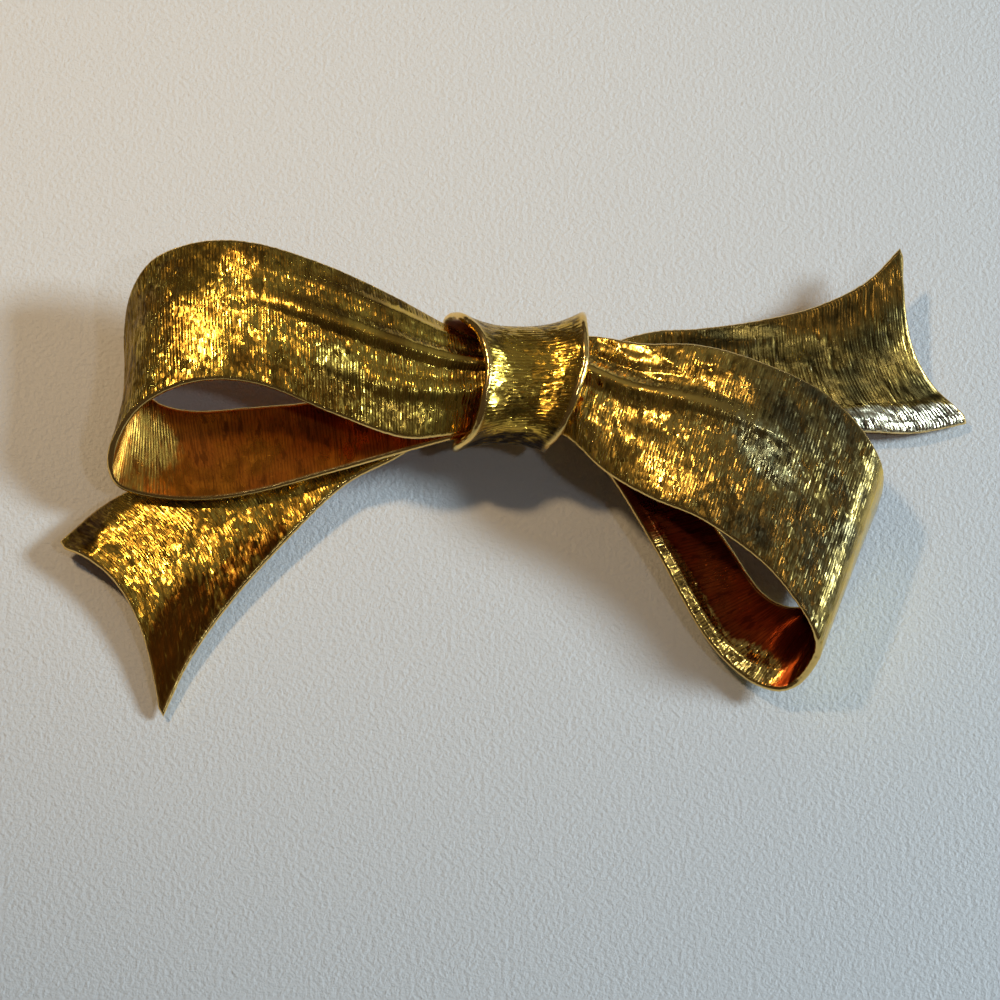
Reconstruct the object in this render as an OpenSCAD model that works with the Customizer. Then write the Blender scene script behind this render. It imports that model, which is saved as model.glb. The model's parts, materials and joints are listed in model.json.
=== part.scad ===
// A ribbon bow brooch in gold-plated sheet metal, lying on its back.
// +X runs to the right along the bow, +Y to the far side, +Z up from the table.
// The origin is at the bottom centre of the box round the whole brooch.

/* [Sheet] */
// Thickness of the sheet that the loops and tails are formed from
sheet_t = 0.65; // [0.5:0.05:0.8]
// Clearance between pieces that lie on each other
fit = 0.15; // [0.1:0.01:0.2]

/* [Knot] */
// Width across the knot at its waist
knot_w = 9.4; // [8.5:0.1:11]
// Height of the knot at its waist, inside the band
knot_room = 6; // [5.5:0.1:7.5]
// Length along the bow from the centre of the knot to its longest lip
lip_reach = 6.1; // [5.2:0.1:7]
// Thickness of the knot's band
band_t = 0.7; // [0.5:0.05:0.9]
// How far the lips flare out past the waist
lip_flare = 1.5; // [1:0.1:2]

/* [Loops] */
// Height of the loops' crest over the table
loop_rise = 10.2; // [9:0.1:12]
// Height of the pleats pressed into the loops
pleat_h = 0.4; // [0.1:0.05:0.6]
// Left loop: from the knot's mouth to the outside of its fold
left_loop_reach = 28; // [24:0.5:34]
// Left loop: from the knot's axis to its far rim
left_loop_spread = 12; // [10:0.5:14]
// Right loop: from the knot's mouth to the outside of its fold
right_loop_reach = 24.5; // [21:0.5:29]
// Right loop: from the knot's axis to its near rim
right_loop_spread = 25; // [21:0.5:30]

/* [Tails] */
// Left tail: from the knot's mouth to its outer tip
left_tail_reach = 32; // [27:0.5:38]
// Left tail: from the knot's axis to its near tip
left_tail_spread = 27; // [23:0.5:32]
// Depth of the left tail's hollow end
left_notch = 2; // [0:0.1:3]
// Right tail: from the knot's mouth to its outer tip
right_tail_reach = 32; // [27:0.5:38]
// Right tail: from the knot's axis to its far tip
right_tail_spread = 13; // [11:0.5:16]
// Depth of the right tail's hollow end
right_notch = 2.2; // [0:0.1:3]
// Width of the blunt tips at both sides of a hollow end
tip_w = 0.8; // [0.4:0.1:1.6]

/* [Camber] */
// Camber across the loops just outside the knot
loop_camber = 1.6; // [1:0.1:2]
// Camber across the tails at their widest
tail_camber = 0.8; // [0.4:0.1:1.2]

/* [Pin] */
// Length of the bar that carries the pin
pin_len = 24; // [20:0.5:26]
// How far the bar lies to the far side of the knot's axis, clear of the left tail
pin_shift = 1.6; // [1.4:0.1:2.2]
// Width of the bar
bar_w = 3; // [2.4:0.1:3.6]
// Thickness of the bar
bar_t = 0.8; // [0.6:0.1:1.2]
// Height of the pin back, from the table to the top of the bar
pin_h = 3.2; // [2.9:0.1:4]
// Diameter of the pin stem
stem_d = 0.9; // [0.7:0.05:1]
// Diameter of the hinge knuckle and of the catch
knuckle_d = 2.2; // [2:0.1:2.4]
// Length of the hinge knuckle, across the bar
knuckle_w = 2.4; // [2:0.1:2.8]
// Length of the catch along the stem
catch_len = 1.6; // [1.2:0.1:2.4]

/* [Hidden] */
GOLD = [0.80, 0.62, 0.20];
DEEP_GOLD = [0.72, 0.50, 0.14];

// How sharply the knot's lips turn outwards, and the step along a table that gives a direction
lip_power = 2.4;
nudge = 0.004;

// Steps along and across each formed sheet
loop_steps = 50;
loop_cross = 18;
tail_steps = 24;
tail_cross = 14;
knot_around = 36;
knot_along = 12;

// The knot's axis stands this far to the far side, which centres the whole bow
knot_y = (left_tail_spread - right_tail_spread) / 2;

// Levels in the knot, from the table up: band, tails, under layers of the loops, rims of their
// top layers, and the roof that those arch up to
knot_floor = pin_h + fit + band_t;
tail_level = knot_floor + fit + sheet_t / 2;
under_level = tail_level + sheet_t + fit;
crest_level = under_level + sheet_t + fit;
root_arch = knot_floor + knot_room - 3 * fit - sheet_t / 2 - crest_level;
knot_half = knot_w / 2 - band_t;

// Rows of a strip where the knot grips it. Each row crosses the strip and gives, for its near
// and its far rim: x as a share of the lip's reach, y of half the room in the knot, and the lift
// over the strip's own level of the knot's height inside. The last column is the camber, as a
// share of the arch that fills the knot.
// near x, near y, near lift, far x, far y, far lift, camber
top_grip_left = [
    [0.10, -0.86, 0.00, 0.10, 0.86, 0.00, 1.00],
    [0.45, -0.92, 0.04, 0.50, 0.96, 0.04, 0.95],
    [0.98, -1.20, 0.22, 1.05, 1.28, 0.24, 0.66]];
top_grip_right = [
    [0.10, -0.86, 0.00, 0.10, 0.86, 0.00, 1.00],
    [0.38, -0.94, 0.04, 0.52, 0.94, 0.04, 0.94],
    [0.72, -1.26, 0.22, 1.08, 0.90, 0.24, 0.62]];
under_grip_left = [
    [0.92, -1.10, 0.01, 0.92, 0.72, 0.02, 0.00],
    [0.10, -0.78, 0.00, 0.10, 0.78, 0.00, 0.00]];
under_grip_right = [
    [0.80, -1.02, 0.01, 1.08, 0.08, 0.03, 0.00],
    [0.10, -0.78, 0.00, 0.10, 0.78, 0.00, 0.00]];
tail_grip_left = [
    [0.10, -0.62, 0.00, 0.10, 0.62, 0.00, 0.00],
    [0.55, -0.62, 0.00, 0.55, 0.62, 0.00, 0.00],
    [1.04, -0.84, -0.03, 1.00, 0.50, -0.03, 0.00]];
tail_grip_right = [
    [0.10, -0.62, 0.00, 0.10, 0.62, 0.00, 0.00],
    [0.60, -0.64, 0.00, 0.60, 0.64, 0.01, 0.00],
    [1.00, -0.74, -0.03, 1.12, 1.08, -0.01, 0.00]];

// Rows of a strip outside the knot: x as a share of the strip's reach past the lip, y of its
// spread to one side of the knot's axis, and z of its rise. The last column is the share of the
// strip's camber.
// near x, near y, near z, far x, far y, far z, camber
left_top = [
    [0.13, -0.44, 0.83, 0.17, 0.61, 0.86, 1.00],
    [0.33, -0.30, 0.94, 0.36, 0.80, 0.96, 0.62],
    [0.53, -0.12, 1.00, 0.55, 0.94, 1.00, 0.44],
    [0.69, -0.08, 1.00, 0.71, 0.97, 0.98, 0.30],
    [0.83, -0.15, 0.92, 0.85, 0.89, 0.90, 0.05],
    [0.93, -0.29, 0.77, 0.92, 0.73, 0.77, -0.30],
    [0.99, -0.50, 0.55, 0.95, 0.50, 0.58, -0.50]];
left_under = [
    [0.97, -0.67, 0.80, 0.94, 0.23, 0.86, -0.30],
    [0.85, -0.75, 0.72, 0.87, -0.02, 0.77, 0.00],
    [0.70, -0.76, 0.70, 0.75, -0.10, 0.75, 0.10],
    [0.55, -0.71, 0.73, 0.58, -0.08, 0.78, 0.10],
    [0.34, -0.58, 0.81, 0.37, -0.04, 0.85, 0.10],
    [0.13, -0.45, 0.92, 0.16, 0.08, 0.95, 0.06]];
right_top = [
    [0.05, -0.33, 0.80, 0.19, 0.11, 0.785, 0.85],
    [0.20, -0.43, 0.855, 0.37, 0.095, 0.865, 0.72],
    [0.37, -0.51, 0.88, 0.55, 0.05, 0.905, 0.58],
    [0.56, -0.65, 0.875, 0.75, -0.04, 0.905, 0.44],
    [0.67, -0.78, 0.855, 0.88, -0.15, 0.885, 0.32],
    [0.733, -0.89, 0.825, 0.955, -0.265, 0.865, 0.18],
    [0.747, -0.945, 0.62, 0.98, -0.34, 0.68, 0.04]];
right_under = [
    [0.69, -1.00, 0.60, 0.95, -0.43, 0.68, -0.05],
    [0.61, -1.01, 0.45, 0.87, -0.59, 0.56, 0.05],
    [0.49, -0.94, 0.41, 0.73, -0.72, 0.53, 0.20],
    [0.37, -0.80, 0.49, 0.59, -0.68, 0.53, 0.28],
    [0.22, -0.53, 0.70, 0.44, -0.47, 0.66, 0.24],
    [0.07, -0.29, 0.92, 0.20, -0.18, 0.92, 0.06]];
left_out = [
    [0.13, -0.20, 0.75, 0.19, -0.01, 0.77, 0.10],
    [0.26, -0.28, 0.60, 0.38, -0.07, 0.62, 0.20],
    [0.40, -0.44, 0.44, 0.58, -0.15, 0.48, 0.40],
    [0.54, -0.63, 0.32, 0.77, -0.25, 0.43, 0.70],
    [0.65, -0.82, 0.22, 0.89, -0.33, 0.44, 1.00],
    [0.72, -1.00, 0.11, 1.00, -0.45, 0.46, 0.80]];
right_out = [
    [0.16, -0.25, 0.82, 0.17, 0.46, 0.92, 0.05],
    [0.34, -0.26, 0.66, 0.30, 0.48, 0.95, 0.50],
    [0.53, -0.23, 0.48, 0.46, 0.53, 1.00, 0.90],
    [0.72, -0.17, 0.33, 0.61, 0.62, 1.06, 1.00],
    [0.86, -0.16, 0.20, 0.74, 0.78, 1.15, 1.00],
    [1.00, -0.08, 0.10, 0.83, 1.00, 1.24, 0.80]];

// Pleats and waves pressed along the strips: place across the strip where the fold starts and
// where it ends, half its width, and its height as shares of the strip's width and of the pleat's
// height; then where along the strip it grows from, is full from, is full to and has gone by.
// start, end, half width, height, grows from, full from, full to, gone by
left_folds = [
    [0.59, 0.60, 0.10, 1.00, -1.00, 0.00, 0.15, 0.33],
    [0.80, 0.80, 0.10, 0.80, -1.00, 0.00, 0.17, 0.30],
    [0.31, 0.30, 0.11, 0.70, -1.00, 0.00, 0.14, 0.28]];
right_folds = [
    [0.60, 0.60, 0.12, 1.00, -1.00, 0.00, 0.20, 0.40],
    [0.84, 0.84, 0.10, 0.60, -1.00, 0.00, 0.14, 0.26],
    [0.36, 0.42, 0.18, -0.90, 0.04, 0.10, 0.14, 0.22]];
left_tail_folds = [
    [0.04, 0.02, 0.22, 0.50, 0.30, 0.60, 1.10, 1.20],
    [0.98, 0.98, 0.20, -0.60, 0.30, 0.60, 1.10, 1.20]];
right_tail_folds = [
    [0.02, 0.02, 0.24, 0.90, 0.20, 0.50, 1.10, 1.20],
    [0.98, 0.98, 0.24, -1.20, 0.20, 0.50, 1.10, 1.20]];

// The knot's band, row by row round its section from the underside over the far side: y as a
// share of half its room, z of its height inside, the left and right lips' x as shares of the
// lip's reach, and how far the lips flare there
// y, z, left lip, right lip, flare
band = [
    [0.00, 0.00, -0.70, 0.62, 0.00],
    [0.62, 0.01, -0.82, 0.80, 0.04],
    [0.97, 0.16, -0.96, 0.94, 0.60],
    [1.05, 0.46, -1.02, 0.98, 1.00],
    [0.92, 0.78, -0.82, 0.98, 0.95],
    [0.54, 0.96, -0.56, 1.00, 0.95],
    [0.00, 1.00, -0.45, 1.00, 0.90],
    [-0.52, 0.95, -0.50, 0.88, 0.90],
    [-0.88, 0.76, -0.62, 0.70, 0.90],
    [-1.00, 0.46, -0.86, 0.50, 0.85],
    [-0.96, 0.16, -0.90, 0.45, 0.50],
    [-0.62, 0.01, -0.80, 0.50, 0.04]];

function clamp01(x) = min(max(x, 0), 1);
function mix(a, b, t) = a + (b - a) * t;
function ease(x, from, to) = let (t = clamp01((x - from) / (to - from))) t * t * (3 - 2 * t);
function unit(v) = v / max(norm(v), 1e-9);
function sum(list, i = 0) = i < len(list) ? list[i] + sum(list, i + 1) : 0;

// A smooth curve through the rows of a table, at a share t of the way between two of them
function through(p0, p1, p2, p3, t) =
    0.5 * (2 * p1 + (p2 - p0) * t + (2 * p0 - 5 * p1 + 4 * p2 - p3) * t * t
        + (3 * p1 - p0 - 3 * p2 + p3) * t * t * t);
function along(rows, u) = let (
    last = len(rows) - 1,
    s = clamp01(u) * last,
    i = min(floor(s), last - 1),
    p1 = rows[i],
    p2 = rows[i + 1],
    p0 = i > 0 ? rows[i - 1] : 2 * p1 - p2,
    p3 = i + 2 <= last ? rows[i + 2] : 2 * p2 - p1)
    through(p0, p1, p2, p3, s - i);
function round_trip(rows, u) = let (
    n = len(rows),
    s = u * n,
    i = floor(s) % n)
    through(rows[(i + n - 1) % n], rows[i], rows[(i + 1) % n], rows[(i + 2) % n], s - floor(s));

// Rows of a table, turned from shares into millimetres on one side of the bow
function gripped(table, side, level) = [for (r = table) [
    side * r[0] * lip_reach, knot_y + r[1] * knot_half, level + r[2] * knot_room,
    side * r[3] * lip_reach, knot_y + r[4] * knot_half, level + r[5] * knot_room,
    r[6] * root_arch]];
function spread(table, side, reach, width, rise, camber) = [for (r = table) [
    side * (lip_reach + r[0] * reach), knot_y + r[1] * width, r[2] * rise,
    side * (lip_reach + r[3] * reach), knot_y + r[4] * width, r[5] * rise,
    r[6] * camber]];

// Height of the pressed folds at one place of a strip
function window(u, f) = ease(u, f[4], f[5]) * (1 - ease(u, f[6], f[7]));
function swell(d) = abs(d) < 1 ? (1 + cos(180 * d)) / 2 : 0;
function relief(folds, u, v) = sum([for (f = folds)
    f[3] * window(u, f) * swell((v - mix(f[0], f[1], clamp01(u / f[7]))) / f[2])]);

// One point of a strip's middle face: straight across between the rims, then raised by camber
// and folds along the outward normal
function straight(row, v) = [for (k = [0:2]) mix(row[k], row[k + 3], v)];
function formed(rows, side, folds, u, v) = let (
    row = along(rows, u),
    before = straight(along(rows, u - nudge), v),
    after = straight(along(rows, u + nudge), v),
    out = side * unit(cross(after - before, straight(row, 1) - straight(row, 0))))
    straight(row, v) + out * (row[6] * 4 * v * (1 - v) + pleat_h * relief(folds, u, v));

// Normals of a grid of points, from its neighbours
function grid_normal(g, i, j, side, closed = false) = let (
    n = len(g),
    m = len(g[0]) - 1,
    a = closed ? g[(i + 1) % n][j] : g[min(i + 1, n - 1)][j],
    b = closed ? g[(i + n - 1) % n][j] : g[max(i - 1, 0)][j])
    side * unit(cross(a - b, g[i][min(j + 1, m)] - g[i][max(j - 1, 0)]));

// A sheet of even thickness on a grid of points: both faces, then the four rims
module sheet(g, side, outside, inside, closed = false) {
    n = len(g);
    m = len(g[0]);
    rings = closed ? n : n - 1;
    outer = [for (i = [0:n - 1]) for (j = [0:m - 1])
        g[i][j] + grid_normal(g, i, j, side, closed) * outside];
    inner = [for (i = [0:n - 1]) for (j = [0:m - 1])
        g[i][j] - grid_normal(g, i, j, side, closed) * inside];
    function at(i, j) = (i % n) * m + j;
    function under(i, j) = n * m + at(i, j);
    function turned(f) = side > 0 ? f : [f[2], f[1], f[0]];
    faces = concat(
        [for (i = [0:rings - 1]) for (j = [0:m - 2]) each [
            [at(i, j), at(i, j + 1), at(i + 1, j)],
            [at(i, j + 1), at(i + 1, j + 1), at(i + 1, j)],
            [under(i, j), under(i + 1, j), under(i, j + 1)],
            [under(i, j + 1), under(i + 1, j), under(i + 1, j + 1)]]],
        [for (i = [0:rings - 1]) each [
            [at(i, 0), at(i + 1, 0), under(i, 0)],
            [at(i + 1, 0), under(i + 1, 0), under(i, 0)],
            [at(i, m - 1), under(i, m - 1), at(i + 1, m - 1)],
            [at(i + 1, m - 1), under(i, m - 1), under(i + 1, m - 1)]]],
        closed ? [] : [for (j = [0:m - 2]) each [
            [at(0, j), under(0, j), at(0, j + 1)],
            [at(0, j + 1), under(0, j), under(0, j + 1)],
            [at(n - 1, j), at(n - 1, j + 1), under(n - 1, j)],
            [at(n - 1, j + 1), under(n - 1, j + 1), under(n - 1, j)]]]);
    polyhedron(concat(outer, inner), [for (f = faces) turned(f)], convexity = 8);
}

// A loop: top layer out from the knot, over the fold, and the under layer back into the knot
module loop(rows, side, folds) {
    grid = [for (i = [0:loop_steps]) [for (j = [0:loop_cross])
        formed(rows, side, folds, i / loop_steps, j / loop_cross)]];
    sheet(grid, side, sheet_t / 2, sheet_t / 2);
}

// A tail: one strip out from the knot, its end cut hollow between two blunt tips
module tail(rows, side, folds, hollow) {
    end = rows[len(rows) - 1];
    tip = tip_w / norm([for (k = [0:2]) end[k + 3] - end[k]]);
    grid = [for (i = [0:tail_steps]) [for (j = [0:tail_cross]) let (
        u = i / tail_steps,
        v = j / tail_cross,
        w = clamp01((v - tip) / (1 - 2 * tip)))
        formed(rows, side, folds, u * (1 - hollow * 4 * w * (1 - w) * u * u), v)]];
    sheet(grid, side, sheet_t / 2, sheet_t / 2);
}

module left_loop() {
    color(GOLD) loop(concat(
        gripped(top_grip_left, -1, crest_level),
        spread(left_top, -1, left_loop_reach, left_loop_spread, loop_rise, loop_camber),
        spread(left_under, -1, left_loop_reach, left_loop_spread, under_level, loop_camber),
        gripped(under_grip_left, -1, under_level)), -1, left_folds);
}

module right_loop() {
    color(GOLD) loop(concat(
        gripped(top_grip_right, 1, crest_level),
        spread(right_top, 1, right_loop_reach, right_loop_spread, loop_rise, loop_camber),
        spread(right_under, 1, right_loop_reach, right_loop_spread, under_level, loop_camber),
        gripped(under_grip_right, 1, under_level)), 1, right_folds);
}

module left_tail() {
    color(DEEP_GOLD) tail(concat(
        gripped(tail_grip_left, -1, tail_level),
        spread(left_out, -1, left_tail_reach, left_tail_spread, tail_level, tail_camber)),
        -1, left_tail_folds, left_notch / left_tail_reach);
}

module right_tail() {
    color(DEEP_GOLD) tail(concat(
        gripped(tail_grip_right, 1, tail_level),
        spread(right_out, 1, right_tail_reach, right_tail_spread, tail_level, tail_camber)),
        1, right_tail_folds, right_notch / right_tail_reach);
}

// The band round the middle: a closed section, waisted, with lips that flare outwards
function band_point(u, w) = let (
    row = round_trip(band, u),
    before = round_trip(band, u + 1 - nudge),
    after = round_trip(band, u + nudge),
    across = unit([0, (after[0] - before[0]) * knot_half, (after[1] - before[1]) * knot_room]),
    out = [0, across[2], -across[1]])
    [mix(row[2], row[3], w) * lip_reach, knot_y + row[0] * knot_half,
        knot_floor + row[1] * knot_room] + out * row[4] * lip_flare * pow(abs(2 * w - 1), lip_power);

module knot() {
    grid = [for (i = [0:knot_around - 1]) [for (j = [0:knot_along])
        band_point(i / knot_around, j / knot_along)]];
    color(GOLD) sheet(grid, 1, band_t, 0, closed = true);
}

// The pin on the back: bar, hinge knuckle, catch and stem, all one piece
module pin_back() {
    end_x = pin_len / 2 - bar_w / 2;
    axis_z = knuckle_d / 2;
    color(DEEP_GOLD) translate([0, knot_y + pin_shift, 0]) {
        translate([-end_x, -bar_w / 2, pin_h - bar_t]) cube([2 * end_x, bar_w, bar_t]);
        for (side = [-1, 1]) translate([side * end_x, 0, pin_h - bar_t])
            cylinder(d = bar_w, h = bar_t, $fn = 48);
        translate([-end_x, knuckle_w / 2, axis_z]) rotate([90, 0, 0])
            cylinder(d = knuckle_d, h = knuckle_w, $fn = 48);
        translate([-end_x - knuckle_d / 2, -knuckle_w / 2, axis_z])
            cube([knuckle_d, knuckle_w, pin_h - bar_t / 2 - axis_z]);
        translate([-end_x, 0, axis_z]) rotate([0, 90, 0])
            cylinder(d = stem_d, h = 2 * end_x + catch_len, $fn = 32);
        translate([end_x - catch_len / 2, 0, axis_z]) rotate([0, 90, 0])
            cylinder(d = knuckle_d, h = catch_len, $fn = 48);
        translate([end_x - catch_len / 2, -bar_t / 2, axis_z])
            cube([catch_len, bar_t, pin_h - bar_t / 2 - axis_z]);
    }
}

left_loop();
right_loop();
left_tail();
right_tail();
knot();
pin_back();
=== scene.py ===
"""A ribbon bow brooch in gold-plated sheet, lying on its back on a pale table.

The four ribbon strips and the knot are formed again here from the same tables of shares as the
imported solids, with rounded rims and finer steps, and are then engraved and hammered by a
Geometry Nodes tree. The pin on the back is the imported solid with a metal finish.
Lengths are in millimetres until a mesh is made, and +X runs right, +Y to the far side, +Z up.
"""
import json
import math
from functools import partial

import bpy
import numpy as np
from mathutils import Matrix, Vector

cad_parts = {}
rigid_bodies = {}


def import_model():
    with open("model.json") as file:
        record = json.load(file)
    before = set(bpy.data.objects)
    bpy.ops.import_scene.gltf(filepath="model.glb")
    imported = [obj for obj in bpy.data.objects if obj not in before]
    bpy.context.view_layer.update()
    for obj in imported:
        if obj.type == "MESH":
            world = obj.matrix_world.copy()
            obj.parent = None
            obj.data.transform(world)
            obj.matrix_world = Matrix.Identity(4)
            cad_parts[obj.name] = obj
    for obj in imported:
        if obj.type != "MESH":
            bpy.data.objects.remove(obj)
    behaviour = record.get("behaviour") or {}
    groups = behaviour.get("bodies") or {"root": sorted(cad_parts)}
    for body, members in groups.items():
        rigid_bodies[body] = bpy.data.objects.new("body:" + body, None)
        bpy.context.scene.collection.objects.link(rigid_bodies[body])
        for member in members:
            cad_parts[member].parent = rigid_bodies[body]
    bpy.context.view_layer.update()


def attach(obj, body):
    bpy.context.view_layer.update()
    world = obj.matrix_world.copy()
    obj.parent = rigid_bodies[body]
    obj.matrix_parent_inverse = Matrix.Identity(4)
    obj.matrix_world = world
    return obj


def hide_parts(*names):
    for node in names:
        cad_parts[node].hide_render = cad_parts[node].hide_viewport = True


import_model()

MM = 0.001

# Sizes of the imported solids: sheet, fit between pieces, knot, loops, tails, tips, cambers and pin
SHEET_T = 0.65
FIT = 0.15
KNOT_W, KNOT_ROOM, LIP_REACH, BAND_T, LIP_FLARE = 9.4, 6.0, 6.1, 0.7, 1.5
LOOP_RISE, PLEAT_H = 10.2, 0.4
LEFT_LOOP_REACH, LEFT_LOOP_SPREAD = 28.0, 12.0
RIGHT_LOOP_REACH, RIGHT_LOOP_SPREAD = 24.5, 25.0
LEFT_TAIL_REACH, LEFT_TAIL_SPREAD, LEFT_NOTCH = 32.0, 27.0, 2.0
RIGHT_TAIL_REACH, RIGHT_TAIL_SPREAD, RIGHT_NOTCH = 32.0, 13.0, 2.2
TIP_W = 0.8
LOOP_CAMBER, TAIL_CAMBER = 1.6, 0.8
PIN_H = 3.2
LIP_POWER = 2.4
# Share of a strip's or the band's length that its direction is measured over, to each side
NUDGE = 0.004

KNOT_Y = (LEFT_TAIL_SPREAD - RIGHT_TAIL_SPREAD) / 2
KNOT_FLOOR = PIN_H + FIT + BAND_T
TAIL_LEVEL = KNOT_FLOOR + FIT + SHEET_T / 2
UNDER_LEVEL = TAIL_LEVEL + SHEET_T + FIT
CREST_LEVEL = UNDER_LEVEL + SHEET_T + FIT
ROOT_ARCH = KNOT_FLOOR + KNOT_ROOM - 3 * FIT - SHEET_T / 2 - CREST_LEVEL
KNOT_HALF = KNOT_W / 2 - BAND_T

# Rows of a strip inside the knot: near x, near y, near lift, far x, far y, far lift, camber
TOP_GRIP_LEFT = [
    [0.10, -0.86, 0.00, 0.10, 0.86, 0.00, 1.00],
    [0.45, -0.92, 0.04, 0.50, 0.96, 0.04, 0.95],
    [0.98, -1.20, 0.22, 1.05, 1.28, 0.24, 0.66]]
TOP_GRIP_RIGHT = [
    [0.10, -0.86, 0.00, 0.10, 0.86, 0.00, 1.00],
    [0.38, -0.94, 0.04, 0.52, 0.94, 0.04, 0.94],
    [0.72, -1.26, 0.22, 1.08, 0.90, 0.24, 0.62]]
UNDER_GRIP_LEFT = [
    [0.92, -1.10, 0.01, 0.92, 0.72, 0.02, 0.00],
    [0.10, -0.78, 0.00, 0.10, 0.78, 0.00, 0.00]]
UNDER_GRIP_RIGHT = [
    [0.80, -1.02, 0.01, 1.08, 0.08, 0.03, 0.00],
    [0.10, -0.78, 0.00, 0.10, 0.78, 0.00, 0.00]]
TAIL_GRIP_LEFT = [
    [0.10, -0.62, 0.00, 0.10, 0.62, 0.00, 0.00],
    [0.55, -0.62, 0.00, 0.55, 0.62, 0.00, 0.00],
    [1.04, -0.84, -0.03, 1.00, 0.50, -0.03, 0.00]]
TAIL_GRIP_RIGHT = [
    [0.10, -0.62, 0.00, 0.10, 0.62, 0.00, 0.00],
    [0.60, -0.64, 0.00, 0.60, 0.64, 0.01, 0.00],
    [1.00, -0.74, -0.03, 1.12, 1.08, -0.01, 0.00]]

# Rows of a strip outside the knot: near x, near y, near z, far x, far y, far z, camber
LEFT_TOP = [
    [0.13, -0.44, 0.83, 0.17, 0.61, 0.86, 1.00],
    [0.33, -0.30, 0.94, 0.36, 0.80, 0.96, 0.62],
    [0.53, -0.12, 1.00, 0.55, 0.94, 1.00, 0.44],
    [0.69, -0.08, 1.00, 0.71, 0.97, 0.98, 0.30],
    [0.83, -0.15, 0.92, 0.85, 0.89, 0.90, 0.05],
    [0.93, -0.29, 0.77, 0.92, 0.73, 0.77, -0.30],
    [0.99, -0.50, 0.55, 0.95, 0.50, 0.58, -0.50]]
LEFT_UNDER = [
    [0.97, -0.67, 0.80, 0.94, 0.23, 0.86, -0.30],
    [0.85, -0.75, 0.72, 0.87, -0.02, 0.77, 0.00],
    [0.70, -0.76, 0.70, 0.75, -0.10, 0.75, 0.10],
    [0.55, -0.71, 0.73, 0.58, -0.08, 0.78, 0.10],
    [0.34, -0.58, 0.81, 0.37, -0.04, 0.85, 0.10],
    [0.13, -0.45, 0.92, 0.16, 0.08, 0.95, 0.06]]
RIGHT_TOP = [
    [0.05, -0.33, 0.80, 0.19, 0.11, 0.785, 0.85],
    [0.20, -0.43, 0.855, 0.37, 0.095, 0.865, 0.72],
    [0.37, -0.51, 0.88, 0.55, 0.05, 0.905, 0.58],
    [0.56, -0.65, 0.875, 0.75, -0.04, 0.905, 0.44],
    [0.67, -0.78, 0.855, 0.88, -0.15, 0.885, 0.32],
    [0.733, -0.89, 0.825, 0.955, -0.265, 0.865, 0.18],
    [0.747, -0.945, 0.62, 0.98, -0.34, 0.68, 0.04]]
RIGHT_UNDER = [
    [0.69, -1.00, 0.60, 0.95, -0.43, 0.68, -0.05],
    [0.61, -1.01, 0.45, 0.87, -0.59, 0.56, 0.05],
    [0.49, -0.94, 0.41, 0.73, -0.72, 0.53, 0.20],
    [0.37, -0.80, 0.49, 0.59, -0.68, 0.53, 0.28],
    [0.22, -0.53, 0.70, 0.44, -0.47, 0.66, 0.24],
    [0.07, -0.29, 0.92, 0.20, -0.18, 0.92, 0.06]]
LEFT_OUT = [
    [0.13, -0.20, 0.75, 0.19, -0.01, 0.77, 0.10],
    [0.26, -0.28, 0.60, 0.38, -0.07, 0.62, 0.20],
    [0.40, -0.44, 0.44, 0.58, -0.15, 0.48, 0.40],
    [0.54, -0.63, 0.32, 0.77, -0.25, 0.43, 0.70],
    [0.65, -0.82, 0.22, 0.89, -0.33, 0.44, 1.00],
    [0.72, -1.00, 0.11, 1.00, -0.45, 0.46, 0.80]]
RIGHT_OUT = [
    [0.16, -0.25, 0.82, 0.17, 0.46, 0.92, 0.05],
    [0.34, -0.26, 0.66, 0.30, 0.48, 0.95, 0.50],
    [0.53, -0.23, 0.48, 0.46, 0.53, 1.00, 0.90],
    [0.72, -0.17, 0.33, 0.61, 0.62, 1.06, 1.00],
    [0.86, -0.16, 0.20, 0.74, 0.78, 1.15, 1.00],
    [1.00, -0.08, 0.10, 0.83, 1.00, 1.24, 0.80]]

# Pleats and waves: place across at the start and at the end, half width, height, then where
# along the strip it grows from, is full from, is full to and has gone by
LEFT_FOLDS = [
    [0.59, 0.60, 0.10, 1.00, -1.00, 0.00, 0.15, 0.33],
    [0.80, 0.80, 0.10, 0.80, -1.00, 0.00, 0.17, 0.30],
    [0.31, 0.30, 0.11, 0.70, -1.00, 0.00, 0.14, 0.28]]
RIGHT_FOLDS = [
    [0.60, 0.60, 0.12, 1.00, -1.00, 0.00, 0.20, 0.40],
    [0.84, 0.84, 0.10, 0.60, -1.00, 0.00, 0.14, 0.26],
    [0.36, 0.42, 0.18, -0.90, 0.04, 0.10, 0.14, 0.22]]
LEFT_TAIL_FOLDS = [
    [0.04, 0.02, 0.22, 0.50, 0.30, 0.60, 1.10, 1.20],
    [0.98, 0.98, 0.20, -0.60, 0.30, 0.60, 1.10, 1.20]]
RIGHT_TAIL_FOLDS = [
    [0.02, 0.02, 0.24, 0.90, 0.20, 0.50, 1.10, 1.20],
    [0.98, 0.98, 0.24, -1.20, 0.20, 0.50, 1.10, 1.20]]

# The knot's band, from the underside over the far side: y, z, left lip, right lip, flare
BAND = [
    [0.00, 0.00, -0.70, 0.62, 0.00],
    [0.62, 0.01, -0.82, 0.80, 0.04],
    [0.97, 0.16, -0.96, 0.94, 0.60],
    [1.05, 0.46, -1.02, 0.98, 1.00],
    [0.92, 0.78, -0.82, 0.98, 0.95],
    [0.54, 0.96, -0.56, 1.00, 0.95],
    [0.00, 1.00, -0.45, 1.00, 0.90],
    [-0.52, 0.95, -0.50, 0.88, 0.90],
    [-0.88, 0.76, -0.62, 0.70, 0.90],
    [-1.00, 0.46, -0.86, 0.50, 0.85],
    [-0.96, 0.16, -0.90, 0.45, 0.50],
    [-0.62, 0.01, -0.80, 0.50, 0.04]]


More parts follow.
